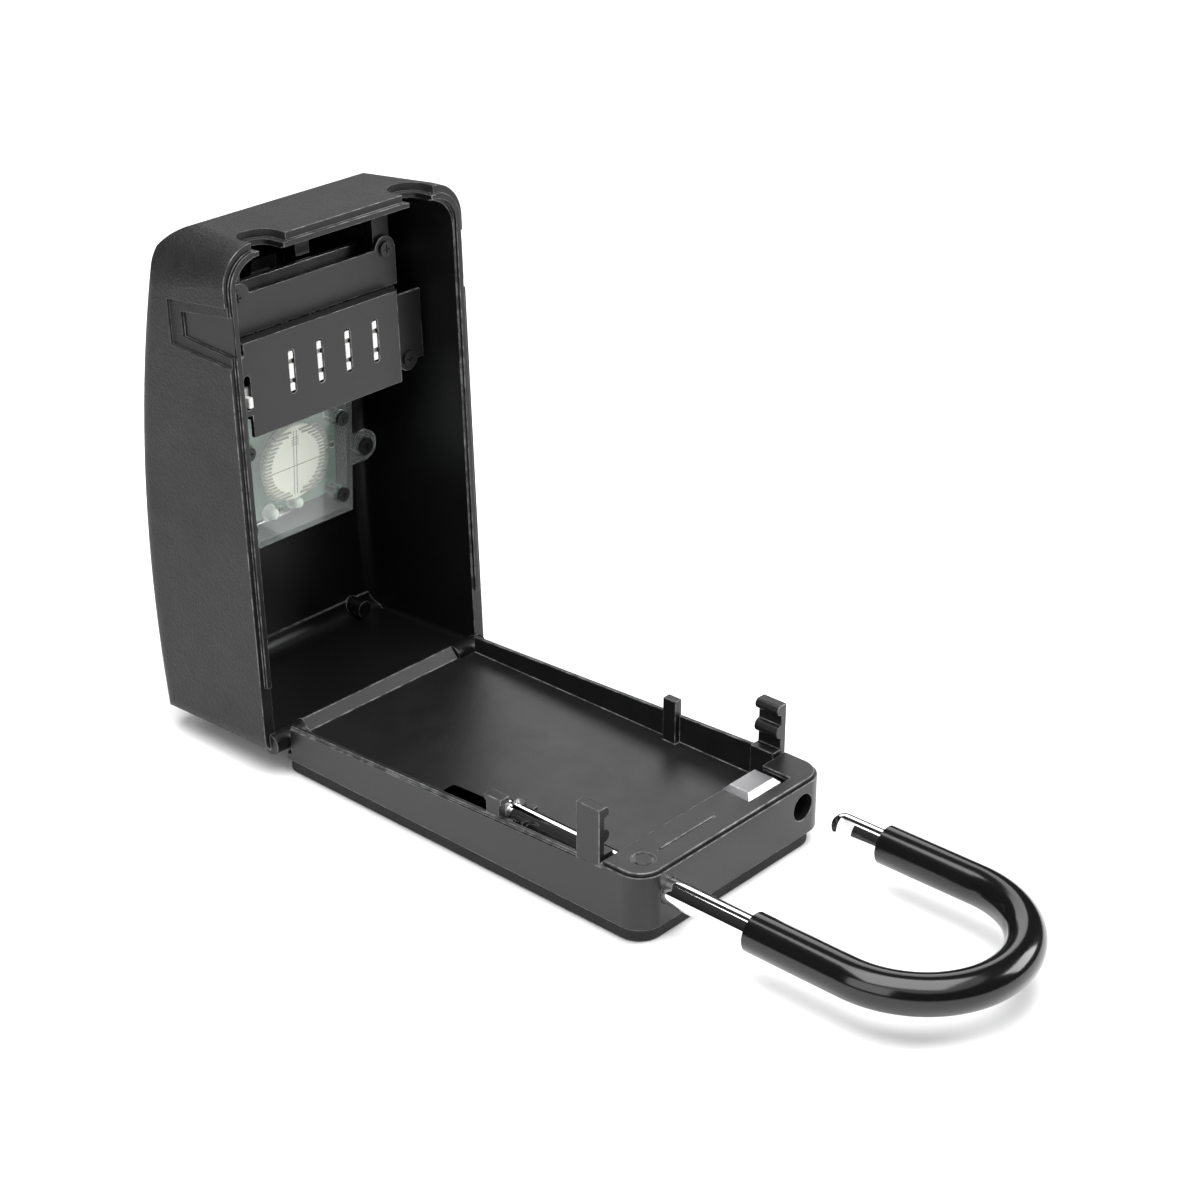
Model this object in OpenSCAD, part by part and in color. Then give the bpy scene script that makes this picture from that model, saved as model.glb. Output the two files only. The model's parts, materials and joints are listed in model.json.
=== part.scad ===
// Portable key lock box, lying on its back pad with the cover swung open and the shackle pulled out.
// The origin is the centre of the pad's underside. +Z is up, the shackle leaves towards -Y,
// and the hinge pin lies along X at the +Y end.
// Pieces of the cover are drawn in "cover space": the cover shut, the hinge pin as origin,
// x across, v from the pin towards the free end (so y = -v) and w up from the rim.
// open_cover() turns them to the open rest pose.

/* [Tray] */
// Width of the tray
tray_w = 84.5; // [80:0.5:86]
// Distance from the origin to the tray's face at the shackle end
tray_front = 76.9; // [76:0.1:78]
// Distance from the origin to the tray's end at the hinge
tray_back = 73.4; // [73:0.1:73.6]
// Height of the tray's rim at the hinge end
rim_back_z = 17.4; // [16:0.1:18]
// Height of the tray's rim and end block at the shackle end
rim_front_z = 22.9; // [22:0.1:23]
// Height of the tray's floor
floor_z = 11.9; // [11.5:0.1:12.5]
// Thickness of the tray's side walls
tray_wall = 1.9; // [1.6:0.1:2]
// Depth of the end block that guides the shackle
block_depth = 15.4; // [15:0.1:16]

/* [Back pad] */
// Width of the back pad
pad_w = 81; // [76:1:82]
// Length of the back pad
pad_len = 150.4; // [146:0.4:151]
// Thickness of the back pad
pad_t = 5.3; // [5:0.1:5.5]

/* [Shackle] */
// Distance between the middles of the two legs
leg_gap = 61; // [60:0.5:62]
// Radius of the steel rod
rod_r = 4; // [3.9:0.05:4]
// Outer radius of the sleeve
sleeve_r = 6; // [5.5:0.1:6.2]
// Height of the legs above the pad's underside
leg_z = 15.5; // [15.3:0.1:15.7]
// How far the shackle slides in
shackle_travel = 23; // [18:0.5:23]

/* [Cover] */
// Width of the cover
cover_w = 98; // [98:0.5:100]
// Distance from the hinge pin to the outside of the cover's free end
cover_len = 161.7; // [161:0.1:163]
// Greatest depth of the cover above its rim
cover_depth = 54.5; // [54:0.5:56]
// Radius of the bulge of the cover's front, seen from the side
front_r = 400; // [380:5:420]
// Radius of the cover's corners and front edge at the free end
end_r = 12; // [10:0.5:12.5]
// Radius along the front edges of the cover's sides
side_r = 8; // [6:0.5:9]
// Thickness of the cover's side walls
side_wall = 4.2; // [4:0.1:5]
// Thickness of the cover's front wall
front_wall = 3.6; // [3:0.1:4]
// How far the open cover leans back past upright, in degrees
lean = 2.2; // [0:0.1:3]

/* [Dials] */
// Distance between neighbouring number wheels
wheel_pitch = 11.7; // [11.5:0.1:12]
// Radius of a number wheel
wheel_r = 13; // [12.6:0.1:13]
// Width of a number wheel
wheel_w = 9.6; // [9:0.1:10]

/* [Hidden] */
$fn = 64;
eps = 0.01;
pin_y = 74.8;
pin_z = 11.4;
pin_r = 1.5;
run_gap = 0.05;
barrel_half = 33.4;
barrel_r = 3.7;
knuckle_r = 3.4;
open_angle = 90 + lean;
block_y = -tray_front + block_depth;
leg_x = leg_gap / 2;
bend_y = -139.8;
sleeve_y = -107.7;
short_tip_y = -88.5;
long_tip_y = -12.5;
clip_y = -15.4;
stop_y = -18.4;
plate_t = 1.1;
button_x = [11.9, 27.2];
hook_y = -56;
hook_w = 8.8;
post_y = -17.3;
bulge_v = 38;
bulge_w = cover_depth - front_r;
comb_w = 10;
upper_w = 15;
comb_v = [97.3, 127.9];
wheel_v = 114;
wheel_axis_w = 35.2;
bore_r = 5.9;
shaft_r = 2.5;
latch_w = 22.6;
latch_t = 2.4;
lever_w = 44.6;
case_w = 32;
case_v = [47.2, 96];
case_half = 24.8;
light_tilt = 5;
cell_v = 71.6;
cell_x = 1.6;
ear_v = 69;
ear_x = 30.3;
button_v = 48;
bezel_v = [60, 127.8];
shutter_v = [62, 93];
black = [0.09, 0.09, 0.1];
satin = [0.16, 0.16, 0.17];
steel = [0.78, 0.78, 0.8];

// ---- helpers ----

// A rounded rectangle with its own radius at the low-y end and at the high-y end
module plan(half, y0, y1, r0, r1) {
    translate([-half, y0 + r0]) square([2 * half, y1 - y0 - r0 - r1]);
    translate([-half + r0, y0]) square([2 * (half - r0), r0 + eps]);
    translate([-half + r1, y1 - r1 - eps]) square([2 * (half - r1), r1 + eps]);
    for (s = [-1, 1]) {
        translate([s * (half - r0), y0 + r0]) circle(r0);
        translate([s * (half - r1), y1 - r1]) circle(r1);
    }
}

// An outline drawn in Y and Z, pushed out along X between two places
module along_x(x0, x1) {
    translate([x0, 0, 0]) rotate([90, 0, 90]) linear_extrude(x1 - x0) children();
}

// An outline drawn in X and Z, pushed out along Y between two places
module along_y(y0, y1) {
    translate([0, y1, 0]) rotate([90, 0, 0]) linear_extrude(y1 - y0) children();
}

// A cylinder along Y between two places
module rod_y(x, z, r, y0, y1) {
    translate([x, y1, z]) rotate([90, 0, 0]) cylinder(h = y1 - y0, r = r);
}

// A cylinder along X between two places
module rod_x(y, z, r, x0, x1) {
    translate([x0, y, z]) rotate([0, 90, 0]) cylinder(h = x1 - x0, r = r);
}

// A cuboid given by its low and high ends
module block(x, y, z) {
    translate([x[0], y[0], z[0]]) cube([x[1] - x[0], y[1] - y[0], z[1] - z[0]]);
}

// The same in cover space
module cover_block(x, v, w) {
    block(x, [-v[1], -v[0]], w);
}

// A cylinder that stands along w in cover space
module post_w(x, v, w0, w1, r) {
    translate([x, -v, w0]) cylinder(h = w1 - w0, r = r);
}

// Turns cover space to the open rest pose
module open_cover() {
    translate([0, pin_y, pin_z]) rotate([-open_angle, 0, 0]) children();
}

// Leans the dial light's pieces to lie along the cover's front wall
module tilted() {
    translate([0, -75, case_w]) rotate([light_tilt, 0, 0]) translate([0, 75, -case_w]) children();
}

// A screw with a domed head, standing along w with its head towards low w
module screw(x, v, head_w, length, r = 1.1, head_r = 2.5, head_t = 0.9) {
    difference() {
        union() {
            post_w(x, v, head_w - head_t, head_w, head_r);
            post_w(x, v, head_w - eps, head_w + length, r);
        }
        for (a = [0, 90])
            translate([x, -v, head_w - head_t]) rotate([0, 0, a])
                cube([head_r * 1.1, 0.5, 0.9], center = true);
    }
}

// ---- base ----

module tray_side() {
    along_x(-tray_w / 2, tray_w / 2)
        polygon([[-tray_front, pad_t], [tray_back, pad_t], [tray_back, rim_back_z],
            [block_y, rim_front_z], [-tray_front, rim_front_z]]);
}

// One hook for the right-hand wall: its nose points in, over a groove for the latch's lug
module hook() {
    along_y(hook_y - hook_w / 2, hook_y + hook_w / 2) {
        translate([39.9, floor_z - 1]) square([2.3, 40.2 - floor_z + 1]);
        translate([36.2, floor_z - 1]) square([4, 25 - floor_z + 1]);
        translate([40.4, 38.5]) circle(1.75);
        translate([39.6, 38.5]) circle(1.75);
        translate([39.9, 31]) circle(2.2);
    }
}

// Guide post of the right-hand wall; its head is wider on one wall than on the other
module small_post(head) {
    block([38.2, 41.2], [post_y - 2.6, post_y + 2.6], [floor_z - 1, 26]);
    block([38.2 - head, 41.2], [post_y - 2.6 - head, post_y + 2.6 + head], [25, 27]);
}

module base_tray() {
    cavity_half = tray_w / 2 - tray_wall;
    color(satin) difference() {
        union() {
            difference() {
                intersection() {
                    translate([0, 0, pad_t])
                        linear_extrude(40) plan(tray_w / 2, -tray_front, tray_back, 8, 1.5);
                    tray_side();
                }
                // key space
                translate([0, 0, floor_z])
                    linear_extrude(40) plan(cavity_half, block_y, tray_back + 5, 2.5, 0.5);
                // stepped rim along the outside of the walls
                for (s = [-1, 1])
                    translate([s * (tray_w / 2), 0, 0]) along_x(-0.6, 0.6)
                        polygon([[tray_back + 1, rim_back_z - 0.9], [block_y, rim_front_z - 0.9],
                            [block_y, 40], [tray_back + 1, 40]]);
                // room for the cover's knuckles
                for (s = [-1, 1])
                    block([s > 0 ? barrel_half : -tray_w, s > 0 ? tray_w : -barrel_half],
                        [pin_y - 4, pin_y + 4], [pin_z - 4, 40]);
            }
            // hinge barrel with a flat along it, and its web
            difference() {
                rod_x(pin_y, pin_z, barrel_r, -barrel_half, barrel_half);
                translate([0, pin_y, pin_z]) rotate([45, 0, 0]) translate([-50, -5, 2.55]) cube([100, 10, 5]);
            }
            block([-barrel_half, barrel_half], [pin_y - 4, tray_back], [pad_t, pin_z]);
            // hooks and guide posts on both walls
            for (s = [0, 1]) mirror([s, 0, 0]) {
                hook();
                small_post(0.8 * s);
            }
            // rib that stops the clip when the shackle is pulled out
            block([-leg_x - 6.5, -leg_x + 6.5], [stop_y - 1, stop_y + 1], [pad_t + 3, leg_z + 1.5]);
        }
        // trough, bore and seat of the shackle
        rod_y(-leg_x, leg_z, 5.7, stop_y + 1, 14);
        rod_y(-leg_x, leg_z, 4.4, block_y + eps, stop_y + 2);
        rod_y(-leg_x, leg_z, rod_r + 0.08, -tray_front - 1, block_y + 1);
        rod_y(leg_x, leg_z, rod_r + 0.35, -tray_front - 1, -64.5);
        // pocket of the release button, and of the bolt under it
        block([11.1, 30.1], [-71.8, block_y + 1], [20, 40]);
        block([13.6, 24.8], [-74.4, block_y + 1], [13.2, 21]);
        block([24, leg_x], [-74.4, -69.7], [13.2, 17.8]);
        // pin bore
        rod_x(pin_y, pin_z, pin_r + 0.02, -barrel_half - 1, barrel_half + 1);
        // screw holes that come up from under the pad
        for (p = tray_screw_places()) translate([p[0], p[1], pad_t - 1]) cylinder(h = p[2], r = 1.25);
        for (p = tray_screw_places()) translate([p[0], p[1], pad_t - 1]) cylinder(h = 3, r = 2.8);
    }
}

// Place of each screw in X and Y, and the length of its hole
function tray_screw_places() = [[-20, -69, 20], [2, -69, 20], [37.6, -69, 20]];

module tray_screws() {
    color(steel) for (p = tray_screw_places()) difference() {
        union() {
            translate([p[0], p[1], pad_t + 0.1]) cylinder(h = 1.8, r = 2.6);
            translate([p[0], p[1], pad_t + 1]) cylinder(h = 16.2, r = 1.2);
        }
        translate([p[0], p[1], pad_t]) cylinder(h = 1.2, r = 1.1, $fn = 6);
    }
}

module back_pad() {
    color([0.2, 0.2, 0.2]) linear_extrude(pad_t) plan(pad_w / 2, -pad_len / 2, pad_len / 2, 8, 4);
}

module end_block_cover() {
    color(black) difference() {
        translate([0, 0, rim_front_z])
            linear_extrude(plate_t) plan(tray_w / 2 - 0.9, -tray_front + 0.9, block_y + 0.4, 7.2, 0.6);
        block([11.1, 30.1], [-71.8, block_y + 1], [20, 40]);
        // shallow ring and groove, in place of any mark
        translate([-33, -69, rim_front_z + plate_t - 0.3]) difference() {
            cylinder(h = 1, r = 3.4);
            translate([0, 0, -1]) cylinder(h = 3, r = 2.8);
        }
        block([-26, -2], [-69.4, -68.6], [rim_front_z + plate_t - 0.3, 40]);
    }
}

module hinge_pin() {
    color(steel) rod_x(pin_y, pin_z, pin_r, -46.5, 46.5);
}

// ---- shackle ----

module shackle_rod() {
    color(steel) difference() {
        union() {
            rod_y(-leg_x, leg_z, rod_r, bend_y, long_tip_y - 1);
            rod_y(-leg_x, leg_z, rod_r - 1, long_tip_y - 2, long_tip_y);
            rod_y(leg_x, leg_z, rod_r, bend_y, short_tip_y - rod_r);
            translate([leg_x, short_tip_y - rod_r, leg_z]) sphere(rod_r);
            translate([0, bend_y, leg_z]) rotate([0, 0, 180])
                rotate_extrude(angle = 180) translate([leg_x, 0]) circle(rod_r);
        }
        // groove of the clip
        translate([-leg_x, clip_y + 0.9, leg_z]) rotate([90, 0, 0]) difference() {
            cylinder(h = 1.8, r = rod_r + 1);
            translate([0, 0, -1]) cylinder(h = 4, r = 2.8);
        }
        // lock notch on the inner side of the short leg
        block([leg_x - rod_r - 1, leg_x - rod_r + 2.3], [-97.6, -92.3], [leg_z - 5, leg_z + 5]);
    }
}

module shackle_clip() {
    color([0.55, 0.55, 0.57]) difference() {
        translate([-leg_x, clip_y + 0.8, leg_z]) rotate([90, 0, 0]) difference() {
            cylinder(h = 1.6, r = 5.3);
            translate([0, 0, -1]) cylinder(h = 4, r = 2.8 + run_gap);
        }
        block([-leg_x - 2, -leg_x + 2], [clip_y - 2, clip_y + 2], [leg_z, leg_z + 8]);
    }
}

module shackle_sleeve() {
    color(black) {
        for (s = [-1, 1]) difference() {
            rod_y(s * leg_x, leg_z, sleeve_r, bend_y, sleeve_y);
            rod_y(s * leg_x, leg_z, rod_r, bend_y - 1, sleeve_y + 1);
        }
        translate([0, bend_y, leg_z]) rotate([0, 0, 180]) rotate_extrude(angle = 180)
            translate([leg_x, 0]) difference() {
                circle(sleeve_r);
                circle(rod_r);
            }
    }
}

// ---- shackle release ----

module release_button() {
    color(steel) difference() {
        block([button_x[0], button_x[1]], [-71, -60.2], [20.2, 25.1]);
        // chamfer all round the top
        for (x = button_x) translate([x, 0, 25.1]) rotate([0, 45, 0])
            cube([2.6, 160, 2.6], center = true);
        for (y = [-71, -60.2]) translate([0, y, 25.1]) rotate([45, 0, 0])
            cube([160, 2.6, 2.6], center = true);
        translate([19, -65.5, 19]) cylinder(h = 4.2, r = 1.5);
    }
}

module shackle_bolt() {
    color([0.5, 0.5, 0.52]) {
        block([16, 22], [-74, -62], [13.5, 20.1]);
        block([16, 26], [-74, -70.1], [13.5, 17.5]);
        translate([19, -65.5, 20]) cylinder(h = 3, r = 1.45);
    }
}

// ---- cover shell ----

// Side outline of the cover in -v and w: straight sides with rounded ends
module side_outline(v0, v1, r0, r1, w0, w1, low) {
    translate([-(v1 - r1), low]) square([v1 - r1 - v0 - r0, 70]);
    translate([-(v0 + r0 + eps), low]) square([r0 + eps, w0 - low]);
    translate([-v1, low]) square([r1 + eps, w1 - low]);
    translate([-(v0 + r0), w0]) circle(r0);
    translate([-(v1 - r1), w1]) circle(r1);
}

// Solid with the bulging front, wide enough for either the outside or the inside
module bulging_block(half, edge_r, radius) {
    translate([0, -bulge_v, bulge_w]) rotate([0, 90, 0]) rotate_extrude($fn = 180) {
        translate([radius - 120, -half]) square([120 - edge_r, 2 * half]);
        translate([radius - 60, -half + edge_r]) square([60, 2 * (half - edge_r)]);
        for (s = [-1, 1]) translate([radius - edge_r, s * (half - edge_r)]) circle(edge_r);
    }
}

// What is taken off a free-end corner, so that its rounding grows from the rim to the front
module corner_waste(s) {
    growth = 0.25;
    apex_w = 2 - end_r / growth;
    tilt = atan(growth * sqrt(2));
    half_angle = asin(growth / sqrt(2 * growth * growth + 1));
    translate([s * cover_w / 2, -cover_len, apex_w]) rotate([0, 0, s > 0 ? -45 : -135]) difference() {
        rotate([0, -atan(growth / sqrt(2)), 0]) translate([0, -60, -20]) cube([60, 120, 260]);
        translate([0.15, 0, 0]) rotate([0, -tilt, 0])
            cylinder(h = 130, r1 = 0, r2 = 130 * tan(half_angle), $fn = 96);
    }
}

module cover_outside() {
    end_w = bulge_w + sqrt(pow(front_r - end_r, 2) - pow(cover_len - end_r - bulge_v, 2));
    difference() {
        intersection() {
            linear_extrude(70) plan(cover_w / 2, -cover_len, 3.5, end_r, 6);
            along_x(-60, 60) side_outline(-3.5, cover_len, 7, end_r, 46, end_w, 0);
            bulging_block(cover_w / 2, side_r, front_r);
        }
        for (s = [-1, 1]) corner_waste(s);
    }
}

module cover_inside() {
    intersection() {
        translate([0, 0, -2]) linear_extrude(72) plan(cover_w / 2 - side_wall, -157.2, -0.6, 10.5, 2);
        along_x(-60, 60) side_outline(0.6, 157.2, 6, 7, 43, 26, -2);
        bulging_block(cover_w / 2 - side_wall, 5, front_r - front_wall);
    }
}

// Pocket for the fingers in the right-hand side, in two steps
module grip() {
    for (p = [[0.9, 0, 27], [1.9, 3.2, 22]])
        translate([cover_w / 2 - p[0], 0, 0]) along_x(0, 5)
            polygon([[-144.7 + p[1], -1], [-142.4 + p[1], p[2]], [-128 - p[1], p[2]],
                [-125.8 - p[1], -1]]);
}

// Passage for one leg through the free end, with a seat for the sleeve's end
module leg_passage(x) {
    w = leg_z - pin_z;
    rod_y(x, w, 4.8, -cover_len - 1, -150);
    block([x - 4.8, x + 4.8], [-cover_len - 1, -150], [-3, w]);
    rod_y(x, w, 6.6, -cover_len - 1, -cover_len + 2.6);
    block([x - 6.6, x + 6.6], [-cover_len - 1, -cover_len + 2.6], [-3, w]);
}

module cover_shell() {
    color(black) open_cover() difference() {
        union() {
            difference() {
                cover_outside();
                cover_inside();
            }
            // raised lip inside the rim
            translate([0, 0, -1.2]) linear_extrude(1.3) difference() {
                plan(47.2, -159.4, -20, 10.5, 0.5);
                plan(45.3, -157.6, -18, 9, 0.5);
            }
            // bosses and ribs
            intersection() {
                cover_outside();
                union() {
                    post_w(36.2, 102, upper_w + 1.5, 60, 3.2);
                    tilted() for (s = [-1, 1]) post_w(s * ear_x, ear_v, case_w + 2, 60, 3.2);
                    for (s = [-1, 1]) post_w(s * 34, 4.5, 42.5, 60, 3);
                    cover_block([1.6, 7.4], [142.6, 158], [26, 60]);
                    post_w(34, 147.4, 26, 60, 2.6);
                    for (x = [29, -32.4]) cover_block([x - 3.4, x + 3.4], [137, 158], [16.5, 21.5]);
                }
            }
            // knuckles
            for (s = [-1, 1]) rod_x(0, 0, knuckle_r, s > 0 ? 34 : -47, s > 0 ? 47 : -34);
        }
        // room for the hinge barrel, and the pin bores
        rod_x(0, 0, 4, -33.9, 33.9);
        rod_x(0, 0, pin_r + run_gap, -46.6, 46.6);
        for (s = [-1, 1]) leg_passage(s * leg_x);
        for (s = [0, 1]) mirror([s, 0, 0]) grip();
        // dial window, lever slot and button hole
        cover_block([-24.6, 24.6], [105, 126.3], [30, 70]);
        cover_block([-6.6, 6.6], [129.7, 141.4], [30, 70]);
        post_w(0, button_v, 40, 70, 6.25);
        // screw holes
        post_w(36.2, 102, 0, 30, 1);
        tilted() for (s = [-1, 1]) post_w(s * ear_x, ear_v, 20, 45, 1);
        for (x = [29, -32.4]) post_w(x, 140.5, 10, 22, 1);
    }
}

// ---- front of the cover ----

module front_bezel() {
    color(satin) open_cover() difference() {
        intersection() {
            difference() {
                bulging_block(36.5, 0.8, front_r + 5.2);
                bulging_block(60, 0.1, front_r + 0.05);
            }
            cover_block([-36.5, 36.5], bezel_v, [30, 70]);
        }
        // track of the shutter, and the open middle
        intersection() {
            difference() {
                bulging_block(34, 0.1, front_r + 4.1);
                bulging_block(60, 0.1, front_r + 1.5);
            }
            cover_block([-34, 34], [bezel_v[0] - 1, bezel_v[1] + 1], [30, 70]);
        }
        cover_block([-32.5, 32.5], [bezel_v[0] - 1, bezel_v[1] + 1], [bulge_top(bezel_v[1]) + 1.6, 70]);
        intersection() {
            difference() {
                bulging_block(32.5, 0.1, front_r + 30);
                bulging_block(60, 0.1, front_r + 1.5);
            }
            cover_block([-32.5, 32.5], [bezel_v[0] - 1, bezel_v[1] + 1], [30, 90]);
        }
        cover_block([-24.6, 24.6], [105, 126.3], [30, 70]);
    }
}

// Height of the bulging front at a place along v
function bulge_top(v) = bulge_w + sqrt(front_r * front_r - (v - bulge_v) * (v - bulge_v));

module dial_shutter() {
    color(black) open_cover() union() {
        intersection() {
            difference() {
                bulging_block(33.7, 0.2, front_r + 3.8);
                bulging_block(60, 0.1, front_r + 1.8);
            }
            cover_block([-33.7, 33.7], shutter_v, [30, 70]);
        }
        for (k = [0:2]) intersection() {
            difference() {
                bulging_block(18, 0.5, front_r + 5.2);
                bulging_block(60, 0.1, front_r + 3.5);
            }
            cover_block([-18, 18], [64 + 3.4 * k, 65.8 + 3.4 * k], [30, 70]);
        }
    }
}

module light_button() {
    color([0.25, 0.25, 0.26]) open_cover() {
        post_w(0, button_v, 50, 55.6, 5.9);
        post_w(0, button_v, 48.8, 50.1, 7.6);
    }
}

module opening_lever() {
    color(satin) open_cover() difference() {
        union() {
            cover_block([-16, 16], [128.6, 140.6], [lever_w, lever_w + 2.4]);
            cover_block([-16, 16], [128.6, 133], [lever_w + 2, lever_w + 5.4]);
            cover_block([-5.8, 5.8], [130.5, 134.5], [latch_w + latch_t, lever_w + 1]);
        }
        for (k = [-6:6]) cover_block([2 * k - 0.5, 2 * k + 0.5], [127, 133.1], [lever_w + 4.9, 60]);
        post_w(0, 132.5, 20, 34, 1);
    }
}

// ---- latch ----

module latch_plate() {
    color([0.45, 0.45, 0.47]) open_cover() difference() {
        union() {
            cover_block([-35.2, 35.2], [128.3, 142], [latch_w, latch_w + latch_t]);
            for (s = [0, 1]) mirror([s, 0, 0]) {
                cover_block([30.2, 35.2], [118.5, 129], [latch_w, latch_w + latch_t]);
                cover_block([34, 39.3], [118.5, 124.3], [latch_w, latch_w + latch_t]);
            }
        }
        post_w(0, 132.5, 10, 34, 1.3);
        for (s = [-1, 1]) cover_block([s * 16 - 7, s * 16 + 7], [133.5, 137.5], [10, 30]);
    }
}

module lever_screw() {
    color(steel) open_cover() screw(0, 132.5, latch_w, 10, 0.95, 2.6, 1.2);
}

// ---- combination unit ----

module slot_outline(x, v0, v1, half) {
    translate([x - half, -v1 + half]) square([2 * half, v1 - v0 - 2 * half]);
    for (v = [v0 + half, v1 - half]) translate([x, -v]) circle(half);
}

function wheel_x(k) = (k - 1.5) * wheel_pitch + 0.6;

module combination_housing() {
    color(satin) open_cover() difference() {
        union() {
            cover_block([-39.9, 29.2], comb_v, [comb_w, comb_w + 1.5]);
            // low walls round the plate
            cover_block([-35.4, 29.2], [comb_v[1] - 1.2, comb_v[1]], [comb_w, upper_w]);
            cover_block([-27.6, 29.2], [comb_v[0], comb_v[0] + 1.2], [comb_w, upper_w + 1]);
            // cheeks that hold the wheel shaft
            cover_block([27.6, 29.2], [99, 127], [comb_w, 40.2]);
            cover_block([-27.6, -26], [99, 127], [comb_w, 40.2]);
            // flange with its screw ear
            cover_block([29, 43], [101, 124.2], [upper_w, upper_w + 1.5]);
            post_w(36.2, 102, upper_w, upper_w + 1.5, 4.2);
        }
        cover_block([-45, -35.4], [124.2, 140], [0, 20]);
        for (k = [0:3]) translate([0, 0, comb_w - 1]) linear_extrude(4)
            slot_outline(wheel_x(k), 106.9, 121.1, 1.15);
        translate([0, 0, comb_w - 1]) linear_extrude(4) slot_outline(-35, 106.6, 117.6, 1.2);
        cover_block([-36, -33.9], [comb_v[0] - 1, 104.6], [0, 15]);
        rod_x(-wheel_v, wheel_axis_w, shaft_r + 0.02, -28, 30);
        post_w(36.2, 102, 10, 20, 1.3);
        // bevel along the right-hand edge
        translate([29.2, 0, comb_w]) rotate([0, 45, 0]) cube([1.4, 400, 1.4], center = true);
    }
}

module detent_pawls() {
    color(steel) open_cover() {
        cover_block([-22, 23], [104.6, 124], [comb_w + 1.6, comb_w + 2.3]);
        for (k = [0:3]) for (s = [[107.6, 110], [111.6, 116.3], [117.9, 120.4]])
            cover_block([wheel_x(k) - 0.95, wheel_x(k) + 0.95], s, [comb_w + 0.4, comb_w + 1.8]);
        // fingers that ride on the wheels
        for (k = [0:3]) cover_block([wheel_x(k) - 2, wheel_x(k) + 2], [113.4, 114.6],
            [comb_w + 2.2, wheel_axis_w - wheel_r - 0.4]);
    }
}

module reset_lever() {
    color(steel) open_cover() {
        cover_block([-39.5, -30], [104.5, 113], [comb_w + 1.8, comb_w + 3.4]);
        cover_block([-35.85, -34.15], [107.5, 110.8], [comb_w - 1, comb_w + 2]);
    }
}

module wheel_shaft() {
    color(steel) open_cover() rod_x(-wheel_v, wheel_axis_w, shaft_r, -28, 29.6);
}

// A wheel with ten shallow scallops between its numbers
module number_wheel(k) {
    color(black) open_cover() translate([wheel_x(k), -wheel_v, wheel_axis_w]) rotate([0, 90, 0])
        difference() {
            cylinder(h = wheel_w, r = wheel_r, center = true);
            cylinder(h = 20, r = bore_r + run_gap, center = true);
            for (a = [18:36:359]) rotate([0, 0, a]) translate([wheel_r + 1.2, 0, 0])
                cylinder(h = 20, r = 2.1, center = true, $fn = 32);
        }
}

module wheel_hub(k) {
    color([0.6, 0.6, 0.62]) open_cover() translate([wheel_x(k), -wheel_v, wheel_axis_w])
        rotate([0, 90, 0]) difference() {
            cylinder(h = wheel_pitch - 0.7, r = bore_r, center = true);
            cylinder(h = 20, r = shaft_r + run_gap, center = true);
            translate([0, -bore_r, wheel_w / 2 + 0.2]) cube([3, 4, 2], center = true);
        }
}

module upper_plate() {
    color(satin) open_cover() difference() {
        union() {
            cover_block([-35.4, 33.4], [comb_v[1] + 0.1, 141], [upper_w, upper_w + 1.5]);
            for (x = [29, -31.2]) post_w(x, 140.5, upper_w, upper_w + 1.5, 4.2);
        }
        for (x = [29, -32.4]) post_w(x, 140.5, 10, 20, 1.3);
    }
}

module housing_screws() {
    color(black) open_cover() {
        for (x = [29, -32.4]) screw(x, 140.5, upper_w, 6, 0.95);
        screw(36.2, 102, upper_w, 12, 0.95);
    }
}

// ---- dial light ----

module light_case() {
    wall = 1.5;
    back = 44.6;
    color([0.85, 0.93, 0.9, 0.4]) open_cover() tilted() difference() {
        union() {
            cover_block([-case_half, case_half], case_v, [case_w, back]);
            for (s = [-1, 1]) {
                post_w(s * ear_x, ear_v, case_w, case_w + 1.9, 5.4);
                cover_block([s > 0 ? case_half - 1 : -ear_x, s > 0 ? ear_x : 1 - case_half],
                    [ear_v - 5.4, ear_v + 5.4], [case_w, case_w + 1.9]);
            }
        }
        difference() {
            cover_block([-case_half + wall, case_half - wall], [case_v[0] + wall, case_v[1] - wall],
                [case_w + wall, back + 1]);
            for (p = case_screw_places()) post_w(p[0], p[1], case_w, 39.1, 2.9);
        }
        for (s = [-1, 1]) post_w(s * ear_x, ear_v, 20, 50, 1.3);
        for (p = case_screw_places()) post_w(p[0], p[1], 20, 40, 1.3);
    }
}

function case_screw_places() = [for (x = [-20, 20], v = [54.6, 82.2]) [x, v]];

module light_board() {
    color([0.16, 0.42, 0.27]) open_cover() tilted() difference() {
        cover_block([-23.1, 23.1], [53, 94], [39.2, 40.8]);
        for (p = case_screw_places()) post_w(p[0], p[1], 20, 50, 1.3);
    }
}

module led_lenses() {
    color([0.95, 0.95, 0.9]) open_cover() tilted() for (p = [[-7, 55.2], [3.6, 55.8]]) {
        post_w(p[0], p[1], 36.4, 39.2, 2);
        translate([p[0], -p[1], 36.4]) intersection() {
            sphere(2);
            translate([-5, -5, -4]) cube([10, 10, 5]);
        }
    }
}

module coin_cell() {
    color([0.93, 0.92, 0.86]) open_cover() tilted() union() {
        post_w(cell_x, cell_v, 34.8, 36.6, 13);
        post_w(cell_x, cell_v, 36.5, 38.4, 12.4);
    }
}

module case_screws() {
    color(black) open_cover() tilted() for (p = case_screw_places()) screw(p[0], p[1], case_w, 7.5);
}

module ear_screws() {
    color(black) open_cover() tilted() for (s = [-1, 1]) screw(s * ear_x, ear_v, case_w, 9, 0.95, 2.9);
}

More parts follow.
